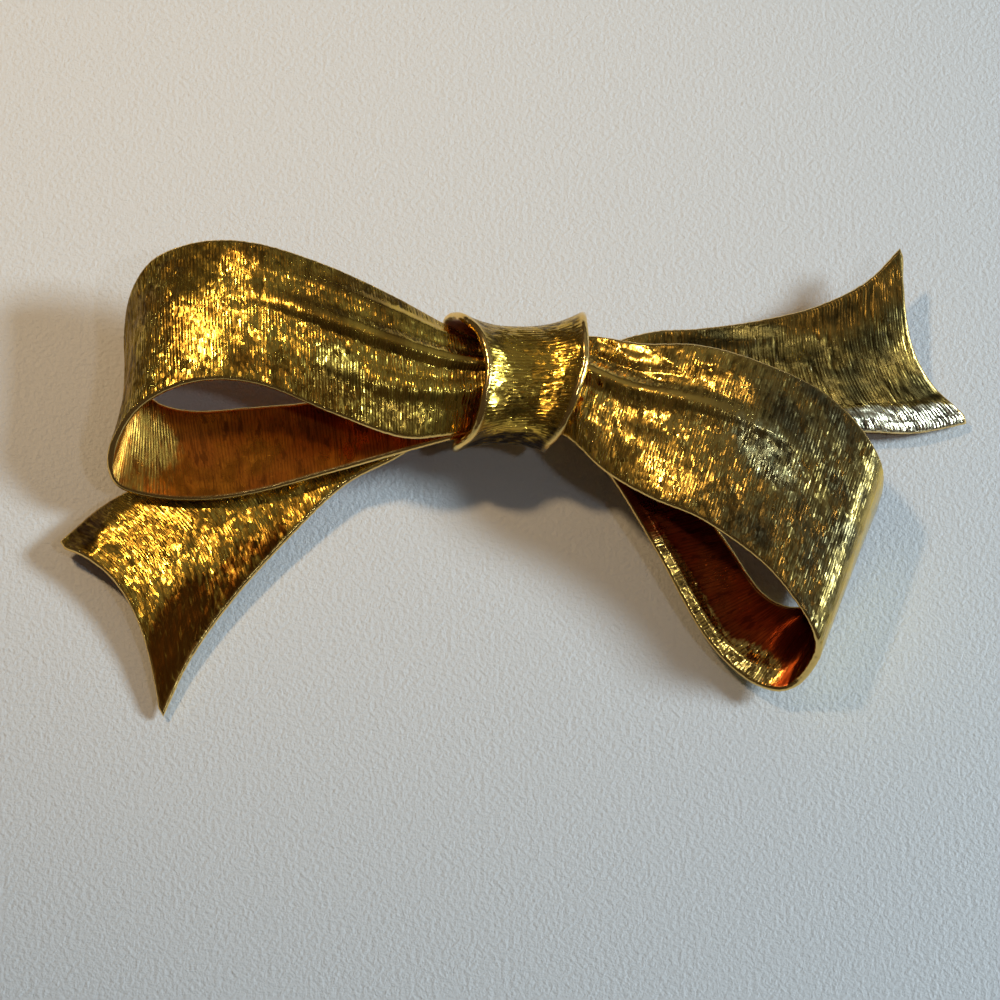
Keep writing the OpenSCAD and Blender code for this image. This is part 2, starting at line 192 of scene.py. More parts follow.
# Steps of the finer forming: along and across the strips, round and across the knot's band
LOOP_STEPS, TAIL_STEPS, STRIP_CROSS = 430, 250, 84
KNOT_AROUND, KNOT_CROSS = 220, 90
# Points that a length is measured with
STRIP_MEASURE, KNOT_MEASURE = 2001, 401
# How far in from the edge the relief is polished away, and how wide the paler rim is, partly rubbed
# plating and partly a painted highlight, in mm
STRIP_POLISH, STRIP_RIM = 0.22, 0.24
KNOT_POLISH, KNOT_RIM = 0.5, 0.45
# Shares of a patch's half size that it is full to, and that it has faded out at
PATCH_FULL, PATCH_GONE = 0.6, 1.2
# How far a smooth crest's edge fades, as a share of the width
CREST_FADE = 0.012


# Forming the sheet
def ease(x, start, end):
    """0 at the start and 1 at the end, smooth in between."""
    t = np.clip((x - start) / (end - start), 0, 1)
    return t * t * (3 - 2 * t)


def unit(v):
    """The vectors at length 1."""
    return v / np.maximum(np.linalg.norm(v, axis=-1, keepdims=True), 1e-9)


def through(p0, p1, p2, p3, t):
    """A smooth curve from p1 to p2 that heads on towards its neighbours, at share t of the way."""
    return 0.5 * (2 * p1 + (p2 - p0) * t + (2 * p0 - 5 * p1 + 4 * p2 - p3) * t ** 2
                  + (3 * p1 - p0 - 3 * p2 + p3) * t ** 3)


def along(rows, u):
    """A smooth row at each share u of the way down a table."""
    rows = np.asarray(rows, float)
    held = np.vstack([2 * rows[:1] - rows[1:2], rows, 2 * rows[-1:] - rows[-2:-1]])
    s = np.clip(u, 0, 1) * (len(rows) - 1)
    i = np.minimum(np.floor(s).astype(int), len(rows) - 2)
    return through(held[i], held[i + 1], held[i + 2], held[i + 3], (s - i)[..., None])


def round_trip(rows, u):
    """The same for a table whose last row leads back to its first."""
    rows = np.asarray(rows, float)
    s = u * len(rows)
    i = np.floor(s).astype(int)
    a, b, c, d = (rows[(i + k) % len(rows)] for k in (-1, 0, 1, 2))
    return through(a, b, c, d, (s - i)[..., None])


def gripped(table, side, level):
    """Rows inside the knot in mm, on one side of it (-1 left, 1 right) and at one level."""
    t = np.asarray(table, float)
    return np.column_stack([
        side * t[:, 0] * LIP_REACH, KNOT_Y + t[:, 1] * KNOT_HALF, level + t[:, 2] * KNOT_ROOM,
        side * t[:, 3] * LIP_REACH, KNOT_Y + t[:, 4] * KNOT_HALF, level + t[:, 5] * KNOT_ROOM,
        t[:, 6] * ROOT_ARCH])


def spread(table, side, reach, width, rise, camber):
    """Rows outside the knot in mm, from shares of the strip's reach, width, rise and camber."""
    t = np.asarray(table, float)
    return np.column_stack([
        side * (LIP_REACH + t[:, 0] * reach), KNOT_Y + t[:, 1] * width, t[:, 2] * rise,
        side * (LIP_REACH + t[:, 3] * reach), KNOT_Y + t[:, 4] * width, t[:, 5] * rise,
        t[:, 6] * camber])


def relief(folds, u, v):
    """Height of the pressed pleats, as a share of the pleat height."""
    total = np.zeros(np.broadcast(u, v).shape)
    for start, end, half, height, grows, full, full_to, gone in folds:
        d = (v - (start + (end - start) * np.clip(u / gone, 0, 1))) / half
        bump = np.where(np.abs(d) < 1, (1 + np.cos(math.pi * d)) / 2, 0)
        total += height * ease(u, grows, full) * (1 - ease(u, full_to, gone)) * bump
    return total


def pressed(pleats, u, v, column):
    """Sum over the pressed pleats of one column: the height in mm, or how smooth the crest is.

    A pleat rises from its near side, runs level over its crest, and falls away to its far side.
    """
    total = np.zeros(np.broadcast(u, v).shape)
    for start, end, near, crest, far, height, smooth, grows, full, full_to, gone in pleats:
        d = v - (start + (end - start) * np.clip(u / gone, 0, 1))
        shape = np.clip(1 + d / near, 0, 1) * np.clip(1 - (d - crest) / far, 0, 1)
        if column == "smooth":
            gone_by = ease(d, crest - CREST_FADE, crest + CREST_FADE)
            shape = smooth * ease(d, -CREST_FADE, CREST_FADE) * (1 - gone_by)
        else:
            shape = height * shape
        total += ease(u, grows, full) * (1 - ease(u, full_to, gone)) * shape
    return total


def straight(row, v):
    """Points on the straight line from a row's near end to its far end."""
    return row[..., :3] + (row[..., 3:6] - row[..., :3]) * v[..., None]


def formed(rows, side, folds, pleats, u, v):
    """Points on the middle of the sheet, with its camber, soft waves and crisp pleats."""
    row = along(rows, u)
    run = straight(along(rows, u + NUDGE), v) - straight(along(rows, u - NUDGE), v)
    out = side * unit(np.cross(run, row[..., 3:6] - row[..., :3]))
    raised = (row[..., 6] * 4 * v * (1 - v) + PLEAT_H * relief(folds, u, v)
              + pressed(pleats, u, v, "height"))
    return straight(row, v) + out * raised[..., None]


# Steps round the quarter circle of a rim
RIM_STEPS = 7
QUARTER = np.linspace(0, math.pi / 2, RIM_STEPS + 1)


def paced(length, steps, radius):
    """Distances from one edge to the other: close together round both rims, even between."""
    rim = radius * (1 - np.cos(QUARTER))
    middle = np.linspace(radius, length - radius, steps - 2 * RIM_STEPS + 1)[1:-1]
    return np.concatenate([rim, middle, length - rim[::-1]])


def rim_rise(steps):
    """Share of the full half thickness at each of those steps."""
    quarter = np.sin(QUARTER)
    return np.concatenate([quarter, np.ones(steps - 2 * RIM_STEPS - 1), quarter[::-1]])


def grid_normals(points, side, closed=False):
    """Directions out of a grid of points, on its outer face."""
    if closed:
        run = np.roll(points, -1, 0) - np.roll(points, 1, 0)
    else:
        run = np.gradient(points, axis=0)
    return side * unit(np.cross(run, np.gradient(points, axis=1)))


def join_faces(n, m, side, closed=False):
    """Quads of a shell with an outer and an inner grid that share their rim points."""
    index = np.arange(n * m).reshape(n, m)
    inner = n * m + np.arange(n * m).reshape(n, m)
    rim = np.zeros((n, m), bool)
    rim[:, 0] = rim[:, -1] = True
    if not closed:
        rim[0] = rim[-1] = True
    inner = np.where(rim, index, inner)
    quads = []
    for grid, flip in ((index, side > 0), (inner, side < 0)):
        if closed:
            grid = np.vstack([grid, grid[:1]])
        a, b, c, d = grid[:-1, :-1], grid[:-1, 1:], grid[1:, 1:], grid[1:, :-1]
        order = (a, b, c, d) if not flip else (a, d, c, b)
        quads.append(np.stack(order, -1).reshape(-1, 4))
    return np.concatenate(quads)


def shell_object(name, outer, inner, side, places, masks, leans, closed=False):
    """A closed shell as an object, with its place on the sheet and its masks as attributes."""
    n, m = outer.shape[:2]
    quads = join_faces(n, m, side, closed)
    points = np.concatenate([outer.reshape(-1, 3), inner.reshape(-1, 3)])
    used = np.unique(quads)
    new_index = np.full(len(points), -1)
    new_index[used] = np.arange(len(used))
    mesh = bpy.data.meshes.new(name)
    mesh.vertices.add(len(used))
    mesh.vertices.foreach_set("co", (points[used] * MM).ravel())
    mesh.loops.add(quads.size)
    mesh.loops.foreach_set("vertex_index", new_index[quads].ravel())
    mesh.polygons.add(len(quads))
    mesh.polygons.foreach_set("loop_start", np.arange(0, quads.size, 4))
    mesh.polygons.foreach_set("use_smooth", np.ones(len(quads), bool))
    mesh.update(calc_edges=True)
    mesh.validate()
    for label, grid, inside in (("sheet_mm", places, (1, 1, 0)), ("finish", masks, (1, 1, 0)),
                                ("lean_and_rim", leans, (1, 1, 1))):
        both = np.concatenate([grid.reshape(-1, 3), (grid * inside).reshape(-1, 3)])
        layer = mesh.attributes.new(label, "FLOAT_VECTOR", "POINT")
        layer.data.foreach_set("vector", both[used].ravel())
    obj = bpy.data.objects.new(name, mesh)
    bpy.context.scene.collection.objects.link(obj)
    return obj


def patches(spots, along_mm, across_mm):
    """Soft oval patches on a sheet: centre along, centre across, half length, half width, share."""
    total = np.zeros(np.broadcast(along_mm, across_mm).shape)
    for x, y, half_x, half_y, share in spots:
        far = np.hypot((along_mm - x) / half_x, (across_mm - y) / half_y)
        total = np.maximum(total, share * (1 - ease(far, PATCH_FULL, PATCH_GONE)))
    return total


def leaning(spots, along_mm, across_mm):
    """How the hammered flats lean: the slopes along and across, added up over soft patches."""
    total = np.zeros((*np.broadcast(along_mm, across_mm).shape, 3))
    for x, y, half_x, half_y, slope_x, slope_y in spots:
        share = patches([(x, y, half_x, half_y, 1.0)], along_mm, across_mm)
        total += share[..., None] * (slope_x, slope_y, 0)
    return total


def strip_object(name, rows, side, folds, pleats, steps, hollow=0.0, wear_and_painted_light=(), smooth=(), lean=()):
    """One ribbon strip: even thickness, rims rounded all round."""
    radius = SHEET_T / 2
    # even steps along the middle of the strip
    fine = np.linspace(0, 1, STRIP_MEASURE)
    middle = formed(rows, side, folds, pleats, fine, np.full_like(fine, 0.5))
    run = np.concatenate([[0], np.cumsum(np.linalg.norm(np.diff(middle, axis=0), axis=1))])
    stations = paced(run[-1], steps, radius)
    u = np.interp(stations, run, fine)[:, None]
    ends = along(rows, u[:, 0])
    width = np.linalg.norm(ends[:, 3:6] - ends[:, :3], axis=1)
    across = np.array([paced(w, STRIP_CROSS, radius) for w in width])
    v = across / width[:, None]
    last = rows[-1]
    tip = TIP_W / np.linalg.norm(last[3:6] - last[:3])
    w = np.clip((v - tip) / (1 - 2 * tip), 0, 1)
    cut = u * (1 - hollow * 4 * w * (1 - w) * u ** 2)
    grid = formed(rows, side, folds, pleats, cut, v)
    normal = grid_normals(grid, side)
    half = radius * rim_rise(steps)[:, None] * rim_rise(STRIP_CROSS)[None, :]
    outer = grid + normal * half[..., None]
    inner = grid - normal * half[..., None]
    # place on the sheet in mm, and 1 on the outer face, which shell_object makes 0 on the inner one
    places = np.stack([np.broadcast_to(stations[:, None], v.shape), across, np.ones_like(v)], -1)
    edge = np.minimum(across, width[:, None] - across)
    if hollow:
        edge = np.minimum(edge, (run[-1] - stations)[:, None])
    plain = np.maximum(np.exp(-(edge / STRIP_POLISH) ** 2), pressed(pleats, u, v, "smooth"))
    plain = np.maximum(plain, patches(smooth, stations[:, None], across))
    # worn places, and the places where a highlight, a reflection and shade are painted
    worn_and_painted_light = patches(wear_and_painted_light, stations[:, None], across)
    masks = np.stack([np.clip(plain, 0, 1), worn_and_painted_light, np.ones_like(v)], -1)
    leans = leaning(lean, stations[:, None], across)
    leans[..., 2] = np.exp(-(edge / STRIP_RIM) ** 4)
    return shell_object(name, outer, inner, side, places, masks, leans)


def knot_object(name, wear_and_painted_light, lean):
    """The band round the middle: closed section, flared lips with thick rounded rims."""
    radius = BAND_T / 2
    u = (np.arange(KNOT_AROUND) / KNOT_AROUND)[:, None]
    flat = np.linspace(0, 1, KNOT_MEASURE)[None, :]

    def band_at(u, w):
        row = round_trip(BAND, u)
        rise = round_trip(BAND, u + NUDGE) - round_trip(BAND, u + 1 - NUDGE)
        a = unit(np.stack([rise[..., 0] * KNOT_HALF, rise[..., 1] * KNOT_ROOM], -1))
        flare = row[..., 4] * LIP_FLARE * np.abs(2 * w - 1) ** LIP_POWER
        return np.stack([
            (row[..., 2] + (row[..., 3] - row[..., 2]) * w) * LIP_REACH,
            KNOT_Y + row[..., 0] * KNOT_HALF + a[..., 1] * flare,
            KNOT_FLOOR + row[..., 1] * KNOT_ROOM - a[..., 0] * flare], -1)

    line = band_at(*np.broadcast_arrays(u, flat))
    run = np.concatenate([np.zeros((KNOT_AROUND, 1)),
                          np.cumsum(np.linalg.norm(np.diff(line, axis=1), axis=2), 1)], 1)
    stations = np.array([paced(r[-1], KNOT_CROSS, radius) for r in run])
    w = np.array([np.interp(s, r, flat[0]) for s, r in zip(stations, run)])
    grid = band_at(np.broadcast_to(u, w.shape), w)
    normal = grid_normals(grid, 1, closed=True)
    rise = rim_rise(KNOT_CROSS)[None, :, None]
    middle = grid + normal * radius
    outer = middle + normal * radius * rise
    inner = middle - normal * radius * rise
    waist = grid[:, KNOT_CROSS // 2]
    girth = np.linalg.norm(np.diff(waist, axis=0), axis=1)
    place = np.concatenate([[0], np.cumsum(girth)])[:, None]
    places = np.stack([np.broadcast_to(place, w.shape), stations, np.ones_like(w)], -1)
    edge = np.minimum(stations, stations[:, -1:] - stations)
    # polished rims, and the patches of painted shade
    masks = np.stack([np.exp(-(edge / KNOT_POLISH) ** 2), patches(wear_and_painted_light, place, stations),
                      np.ones_like(w)], -1)
    leans = leaning(lean, place, stations)
    leans[..., 2] = np.exp(-(edge / KNOT_RIM) ** 4)
    return shell_object(name, outer, inner, 1, places, masks, leans, closed=True)


# Nodes. By number, a Map Range takes 1 and 2 to 3 and 4, and a colour Mix blends 6 and 7.
def add(tree, kind, links=None, **settings):
    """Adds a node: each input takes a value, a node's output, or a node, for its first output."""
    node = tree.nodes.new(kind)
    for key, value in settings.items():
        setattr(node, key, value)
    for key, value in (links or {}).items():
        if isinstance(value, bpy.types.Node):
            value = value.outputs[0]
        if isinstance(value, bpy.types.NodeSocket):
            tree.links.new(value, node.inputs[key])
        else:
            node.inputs[key].default_value = value
    return node


def linear(code):
    """sRGB hex to the linear colour that shaders use."""
    parts = [int(code[i:i + 2], 16) / 255 for i in (1, 3, 5)]
    return [p / 12.92 if p <= 0.04045 else ((p + 0.055) / 1.055) ** 2.4 for p in parts] + [1.0]


# Dents and grooves: how much longer each is across the ribbon than along it
DENT_STRETCH, GROOVE_STRETCH = 1.7, 7.0
# Patches of grooves: how many fit in one groove's pitch along, and in one groove's length across
PATCHES_PER_GROOVE = (0.28, 1.3, 1.0)
# Half width of a groove's valley, as a difference from the middle of the noise
VALLEY = 0.05
NICKS_PER_MM = 2.2
# Steps between the slices of noise that the dents, the grooves and the nicks read
GROOVE_SLICE, NICK_SLICE = 7.3, 3.1


def engraving_tree():
    """Hammers dents and cuts cross grooves into a formed sheet, then gives it its finish."""
    tree = bpy.data.node_groups.new("Engrave and hammer", "GeometryNodeTree")
    node = partial(add, tree)
    face = tree.interface
    face.new_socket("Geometry", in_out="INPUT", socket_type="NodeSocketGeometry")
    for label, value in (("Dent size mm", 1.2), ("Dent depth mm", 0.025), ("Groove pitch mm", 0.75),
                         ("Groove depth mm", 0.05), ("Rim nick depth mm", 0.05), ("Inside share", 0.15),
                         ("Seed", 0.0)):
        face.new_socket(label, in_out="INPUT", socket_type="NodeSocketFloat").default_value = value
    face.new_socket("Finish", in_out="INPUT", socket_type="NodeSocketMaterial")
    face.new_socket("Inside finish", in_out="INPUT", socket_type="NodeSocketMaterial")
    face.new_socket("Geometry", in_out="OUTPUT", socket_type="NodeSocketGeometry")
    given = node("NodeGroupInput").outputs
    place = node("GeometryNodeInputNamedAttribute", {"Name": "sheet_mm"}, data_type="FLOAT_VECTOR")
    masks = node("GeometryNodeInputNamedAttribute", {"Name": "finish"}, data_type="FLOAT_VECTOR")
    along_mm, across_mm = node("ShaderNodeSeparateXYZ", {0: place}).outputs[:2]
    polished, _, outer = node("ShaderNodeSeparateXYZ", {0: masks}).outputs

    # dents: round hammer marks, a little longer across the ribbon than along it
    dent_long = node("ShaderNodeMath", {0: given["Dent size mm"], 1: DENT_STRETCH}, operation="MULTIPLY")
    dent_x = node("ShaderNodeMath", {0: along_mm, 1: given["Dent size mm"]}, operation="DIVIDE")
    dent_y = node("ShaderNodeMath", {0: across_mm, 1: dent_long}, operation="DIVIDE")
    dent_at = node("ShaderNodeCombineXYZ", {0: dent_x, 1: dent_y, 2: given["Seed"]})
    dents = node("ShaderNodeTexNoise", {"Vector": dent_at, "Scale": 1.0, "Detail": 1.5, "Roughness": 0.45})
    dent = node("ShaderNodeMath", {0: dents, 1: 0.5}, operation="SUBTRACT")
    dent_depth = node("ShaderNodeMath", {0: given["Dent depth mm"], 1: 2.0}, operation="MULTIPLY")
    dent = node("ShaderNodeMath", {0: dent, 1: dent_depth}, operation="MULTIPLY")
    # grooves: narrow valleys that run across the ribbon and start and stop on their own
    cut_long = node("ShaderNodeMath", {0: given["Groove pitch mm"], 1: GROOVE_STRETCH},
                    operation="MULTIPLY")
    cut_x = node("ShaderNodeMath", {0: along_mm, 1: given["Groove pitch mm"]}, operation="DIVIDE")
    cut_y = node("ShaderNodeMath", {0: across_mm, 1: cut_long}, operation="DIVIDE")
    cut_z = node("ShaderNodeMath", {0: given["Seed"], 1: GROOVE_SLICE}, operation="ADD")
    cut_at = node("ShaderNodeCombineXYZ", {0: cut_x, 1: cut_y, 2: cut_z})
    cuts = node("ShaderNodeTexNoise", {"Vector": cut_at, "Scale": 1.0, "Detail": 2.0, "Roughness": 0.6})
    valley = node("ShaderNodeMath", {0: cuts, 1: 0.5}, operation="SUBTRACT")
    valley = node("ShaderNodeMath", {0: valley}, operation="ABSOLUTE")
    valley = node("ShaderNodeMapRange", {0: valley, 1: 0.0, 2: VALLEY, 3: 1.0, 4: 0.0},
                  interpolation_type="SMOOTHSTEP")
    # the grooves come in patches, with plain places between them
    patch_at = node("ShaderNodeVectorMath", {0: cut_at, 1: PATCHES_PER_GROOVE}, operation="MULTIPLY")
    patch = node("ShaderNodeTexNoise", {"Vector": patch_at, "Scale": 1.0, "Detail": 1.0})
    patch = node("ShaderNodeMapRange", {0: patch, 1: 0.42, 2: 0.55}, interpolation_type="SMOOTHSTEP")
    valley = node("ShaderNodeMath", {0: valley, 1: patch}, operation="MULTIPLY")
    groove_depth = node("ShaderNodeMath", {0: given["Groove depth mm"], 1: -1.0}, operation="MULTIPLY")
    groove = node("ShaderNodeMath", {0: valley, 1: groove_depth}, operation="MULTIPLY")
    # nicks along the polished rims
    nick_x = node("ShaderNodeMath", {0: along_mm, 1: NICKS_PER_MM}, operation="MULTIPLY")
    nick_z = node("ShaderNodeMath", {0: given["Seed"], 1: NICK_SLICE}, operation="ADD")
    nick_at = node("ShaderNodeCombineXYZ", {0: nick_x, 1: across_mm, 2: nick_z})
    nicks = node("ShaderNodeTexNoise", {"Vector": nick_at, "Scale": 1.0, "Detail": 1.0})
    nick = node("ShaderNodeMath", {0: nicks, 1: 0.5}, operation="SUBTRACT")
    nick_depth = node("ShaderNodeMath", {0: given["Rim nick depth mm"], 1: 2.0}, operation="MULTIPLY")
    nick = node("ShaderNodeMath", {0: nick, 1: nick_depth}, operation="MULTIPLY")
    # the marks are shallower on the inner face, and the polished places have only nicks
    face_share = node("ShaderNodeMapRange", {0: outer, 3: given["Inside share"], 4: 1.0})
    open_face = node("ShaderNodeMath", {0: 1.0, 1: polished}, operation="SUBTRACT")
    open_face = node("ShaderNodeMath", {0: open_face, 1: face_share}, operation="MULTIPLY")
    height = node("ShaderNodeMath", {0: dent, 1: groove}, operation="ADD")
    height = node("ShaderNodeMath", {0: height, 1: open_face}, operation="MULTIPLY")
    nick = node("ShaderNodeMath", {0: nick, 1: polished}, operation="MULTIPLY")
    height = node("ShaderNodeMath", {0: height, 1: nick}, operation="ADD")
    height = node("ShaderNodeMath", {0: height, 1: MM}, operation="MULTIPLY")
    normal = node("GeometryNodeInputNormal")
    push = node("ShaderNodeVectorMath", {0: normal, "Scale": height}, operation="SCALE")
    # the depth of the grooves, which the finish darkens as patina and painted shade
    depth = node("ShaderNodeMath", {0: valley, 1: open_face}, operation="MULTIPLY")
    marked = node("GeometryNodeStoreNamedAttribute",
                  {"Geometry": given["Geometry"], "Name": "groove", "Value": depth},
                  data_type="FLOAT", domain="POINT")
    moved = node("GeometryNodeSetPosition", {"Geometry": marked, "Offset": push})
    whole = node("GeometryNodeRealizeInstances", {"Geometry": moved})
    inside = node("GeometryNodeSetMaterial", {"Geometry": whole, "Material": given["Inside finish"]})
    is_outer = node("FunctionNodeCompare", {0: outer, 1: 0.5}, operation="GREATER_THAN")
    done = node("GeometryNodeSetMaterial", {"Geometry": inside, "Selection": is_outer,
                                            "Material": given["Finish"]})
    node("NodeGroupOutput", {"Geometry": done})
    return tree


def engrave(obj, tree, finish, inside_finish, **sizes):
    """Runs the tree on a formed sheet and keeps the result as a plain mesh."""
    sockets = {s.name: s.identifier for s in tree.interface.items_tree if s.in_out == "INPUT"}
    modifier = obj.modifiers.new("Engrave and hammer", "NODES")
    modifier.node_group = tree
    modifier[sockets["Finish"]] = finish
    modifier[sockets["Inside finish"]] = inside_finish
    for label, value in sizes.items():
        modifier[sockets[label.replace("_", " ")]] = float(value)
    graph = bpy.context.evaluated_depsgraph_get()
    result = bpy.data.meshes.new_from_object(obj.evaluated_get(graph), preserve_all_data_layers=True,
                                             depsgraph=graph)
    obj.modifiers.remove(modifier)
    plain = obj.data
    obj.data = result
    result.name = obj.name
    bpy.data.meshes.remove(plain)
    result.polygons.foreach_set("use_smooth", np.ones(len(result.polygons), bool))


# Sizes of the marks on the plate, along the ribbon and across it in mm
COMB_MM, COMB_DRIFT_MM = 0.27083, 10.0
COMB_WEAR_MM = (2.0, 2.5)
GRAVER_MM = (0.2, 3.125)
BARK_MM = (0.55556, 2.2222)
LARGE_FLAT_MM, SMALL_FLAT_MM = (0.66667, 0.83333), (0.30303, 0.38462)
FILM_MM = (4.5455, 3.3333)
RAGGED_MM = (0.45455, 1.25)
GLOSS_MM = (1.1111, 1.6667)
# Distance from crest to crest of a Wave Texture's bands at scale 1
WAVE_PERIOD = math.pi / 10
# Depth of the bark over that of the graver lines, and of the small flats over that of the large ones
BARK_DEPTH, SMALL_FLAT_DEPTH = 2.4, 0.6
# Roughness of the film over that of the plate, the plate's own least and most, and the fixed ones
FILM_ROUGH, PLATE_ROUGH_LEAST, PLATE_ROUGH_MOST = 2.2, 0.7, 1.7
CUT_ROUGH, POLISHED_ROUGH, RIM_ROUGH = 0.45, 0.2, 0.18
# How much of the cuts the dark patina, which also stands in as painted shade, covers
PATINA_AND_SHADE_COVER = 0.9
# Paler gold at the rims, partly rubbed plating and partly a painted highlight
RIM_WEAR_AND_HIGHLIGHT_GOLD = "#F2CB78"
# Grain of the pin and of the table: its size and depth in mm
TUMBLED_MM, TUMBLED_DEPTH = 0.4, 0.01
PEBBLE_MM, PEBBLE_DEPTH = 0.4, 0.14


def new_material(name):
    """A material with an empty node tree."""
    material = bpy.data.materials.new(name)
    material.use_nodes = True
    material.node_tree.nodes.clear()
    return material


def mapping_scale(size_mm, slices=1.0):
    """Scale of a Mapping node that makes one step of a pattern the given size in mm."""
    return (1 / size_mm[0], 1 / size_mm[1], slices)


def gold_plate(name, gold, dull, dulled, patina_and_painted_shade, worn_and_painted_light, rough, comb_mm, graver_mm, flat_mm,
               worn_and_painted_light_relief=0.0, worn_and_painted_light_rough=0.42, dull_along=(-2.0, -1.0, 90.0, 91.0)):
    """Gold plate over sheet brass, combed across with a fine graver and then lightly hammered.

    It glints in dots and short lines, because the combed lines, the broken graver lines and the
    flats that the hammer leaves each turn a little of the light. Their three depths are in mm.
    A thin film dulls the plate in places, from and to the two shares of dulled. It sets in between
    the first two distances along the strip of dull_along and ends between the last two. A dark
    patina, which also stands in as painted shade, lies in what is cut deep. Worn places and places
    of painted highlight, reflection and shade take the colour worn_and_painted_light, and the rims
    are painted paler, partly as rubbed plating and partly as a painted highlight.
    """
    material = new_material(name)
    node = partial(add, material.node_tree)
    place = node("ShaderNodeAttribute", attribute_name="sheet_mm").outputs["Vector"]
    masks = node("ShaderNodeAttribute", attribute_name="finish").outputs["Vector"]
    groove = node("ShaderNodeAttribute", attribute_name="groove").outputs["Fac"]
    lean = node("ShaderNodeAttribute", attribute_name="lean_and_rim").outputs["Vector"]
    rim = node("ShaderNodeSeparateXYZ", {0: lean}).outputs[2]
    polished, worn_and_painted_light_mask = node("ShaderNodeSeparateXYZ", {0: masks}).outputs[:2]
    open_face = node("ShaderNodeMath", {0: 1.0, 1: polished}, operation="SUBTRACT")

    def mottle(size_mm, detail, roughness, shift=(0.0, 0.0, 0.0)):
        """Uneven marks of the given size along and across, moved by a few steps of their own."""
        at = node("ShaderNodeMapping", {"Vector": place, "Scale": mapping_scale(size_mm),
                                        "Location": shift})
        return node("ShaderNodeTexNoise", {"Vector": at, "Scale": 1.0, "Detail": detail,
                                           "Roughness": roughness})

    def flats(size_mm, shift):
        """Small flats: the height of each one's own lean, and of the lean they share, in mm."""
        at = node("ShaderNodeMapping", {"Vector": place, "Scale": mapping_scale(size_mm, 0.0),
                                        "Location": shift})
        cell = node("ShaderNodeTexVoronoi", {"Vector": at, "Scale": 1.0}, voronoi_dimensions="2D",
                    feature="F1").outputs
        own = node("ShaderNodeVectorMath", {0: cell["Color"], 1: (0.5, 0.5, 0.5)}, operation="SUBTRACT")
        half_size = (0.5 * size_mm[0], 0.5 * size_mm[1], 0.0)
        shared = node("ShaderNodeVectorMath", {0: lean, 1: half_size}, operation="MULTIPLY")
        off = node("ShaderNodeVectorMath", {0: at, 1: cell["Position"]}, operation="SUBTRACT")
        return [node("ShaderNodeVectorMath", {0: slope, 1: off}, operation="DOT_PRODUCT").outputs["Value"]
                for slope in (own, shared)]

    # combed lines, straight across, strong in some places and worn away in others
    comb_at = node("ShaderNodeMapping", {"Vector": place,
                                         "Scale": mapping_scale((COMB_MM / WAVE_PERIOD, COMB_DRIFT_MM))})
    comb = node("ShaderNodeTexWave", {"Vector": comb_at, "Scale": 1.0, "Distortion": 2.6,
                                      "Detail": 1.5, "Detail Scale": 1.1},
                wave_type="BANDS", bands_direction="X", wave_profile="SIN").outputs["Fac"]
    comb_share = node("ShaderNodeMapRange", {0: mottle(COMB_WEAR_MM, 2.0, 0.5, (4.0, 9.0, 0.0)),
                                             1: 0.36, 2: 0.60, 3: 0.25, 4: 1.0},
                      interpolation_type="SMOOTHSTEP")
    combed = node("ShaderNodeMath", {0: comb, 1: comb_share}, operation="MULTIPLY")
    # broken graver lines, close together and long across the ribbon, and bark: wider, shorter gouges
    graver = mottle(GRAVER_MM, 2.0, 0.6)
    bark = mottle(BARK_MM, 3.0, 0.6, (3.0, 5.0, 2.0))
    # hammered flats, and smaller ones which break a highlight into dots
    large, large_lean = flats(LARGE_FLAT_MM, (0.3, 0.7, 0.0))
    small, small_lean = flats(SMALL_FLAT_MM, (7.0, 4.0, 0.0))
    height = 0.0
    for layer, depth_mm in ((combed, comb_mm), (graver, graver_mm), (bark, BARK_DEPTH * graver_mm),
                            (large, flat_mm), (small, SMALL_FLAT_DEPTH * flat_mm)):
        height = node("ShaderNodeMath", {0: layer, 1: depth_mm, 2: height}, operation="MULTIPLY_ADD")
    relief = node("ShaderNodeMath", {0: worn_and_painted_light_mask, 1: worn_and_painted_light_relief, 2: 1.0}, operation="MULTIPLY_ADD")
    leans = node("ShaderNodeMath", {0: large_lean, 1: small_lean}, operation="ADD")
    height = node("ShaderNodeMath", {0: height, 1: relief, 2: leans}, operation="MULTIPLY_ADD")
    bump = node("ShaderNodeBump", {"Height": height, "Distance": MM, "Strength": open_face})
    # patina in the cuts, which also stands in as painted shade inside them
    comb_low = node("ShaderNodeMapRange", {0: comb, 1: 0.50, 2: 0.05, 3: 0.0, 4: 0.65},
                    interpolation_type="SMOOTHSTEP")
    graver_low = node("ShaderNodeMapRange", {0: graver, 1: 0.48, 2: 0.36, 3: 0.0, 4: 0.75},
                      interpolation_type="SMOOTHSTEP")
    bark_low = node("ShaderNodeMapRange", {0: bark, 1: 0.45, 2: 0.38, 3: 0.0, 4: 0.85},
                    interpolation_type="SMOOTHSTEP")
    cut = node("ShaderNodeMath", {0: comb_low, 1: comb_share}, operation="MULTIPLY")
    for low in (graver_low, bark_low, groove):
        cut = node("ShaderNodeMath", {0: cut, 1: low}, operation="MAXIMUM")
    cut = node("ShaderNodeMath", {0: cut, 1: open_face}, operation="MULTIPLY")
    cut = node("ShaderNodeMath", {0: cut, 1: PATINA_AND_SHADE_COVER}, operation="MULTIPLY")
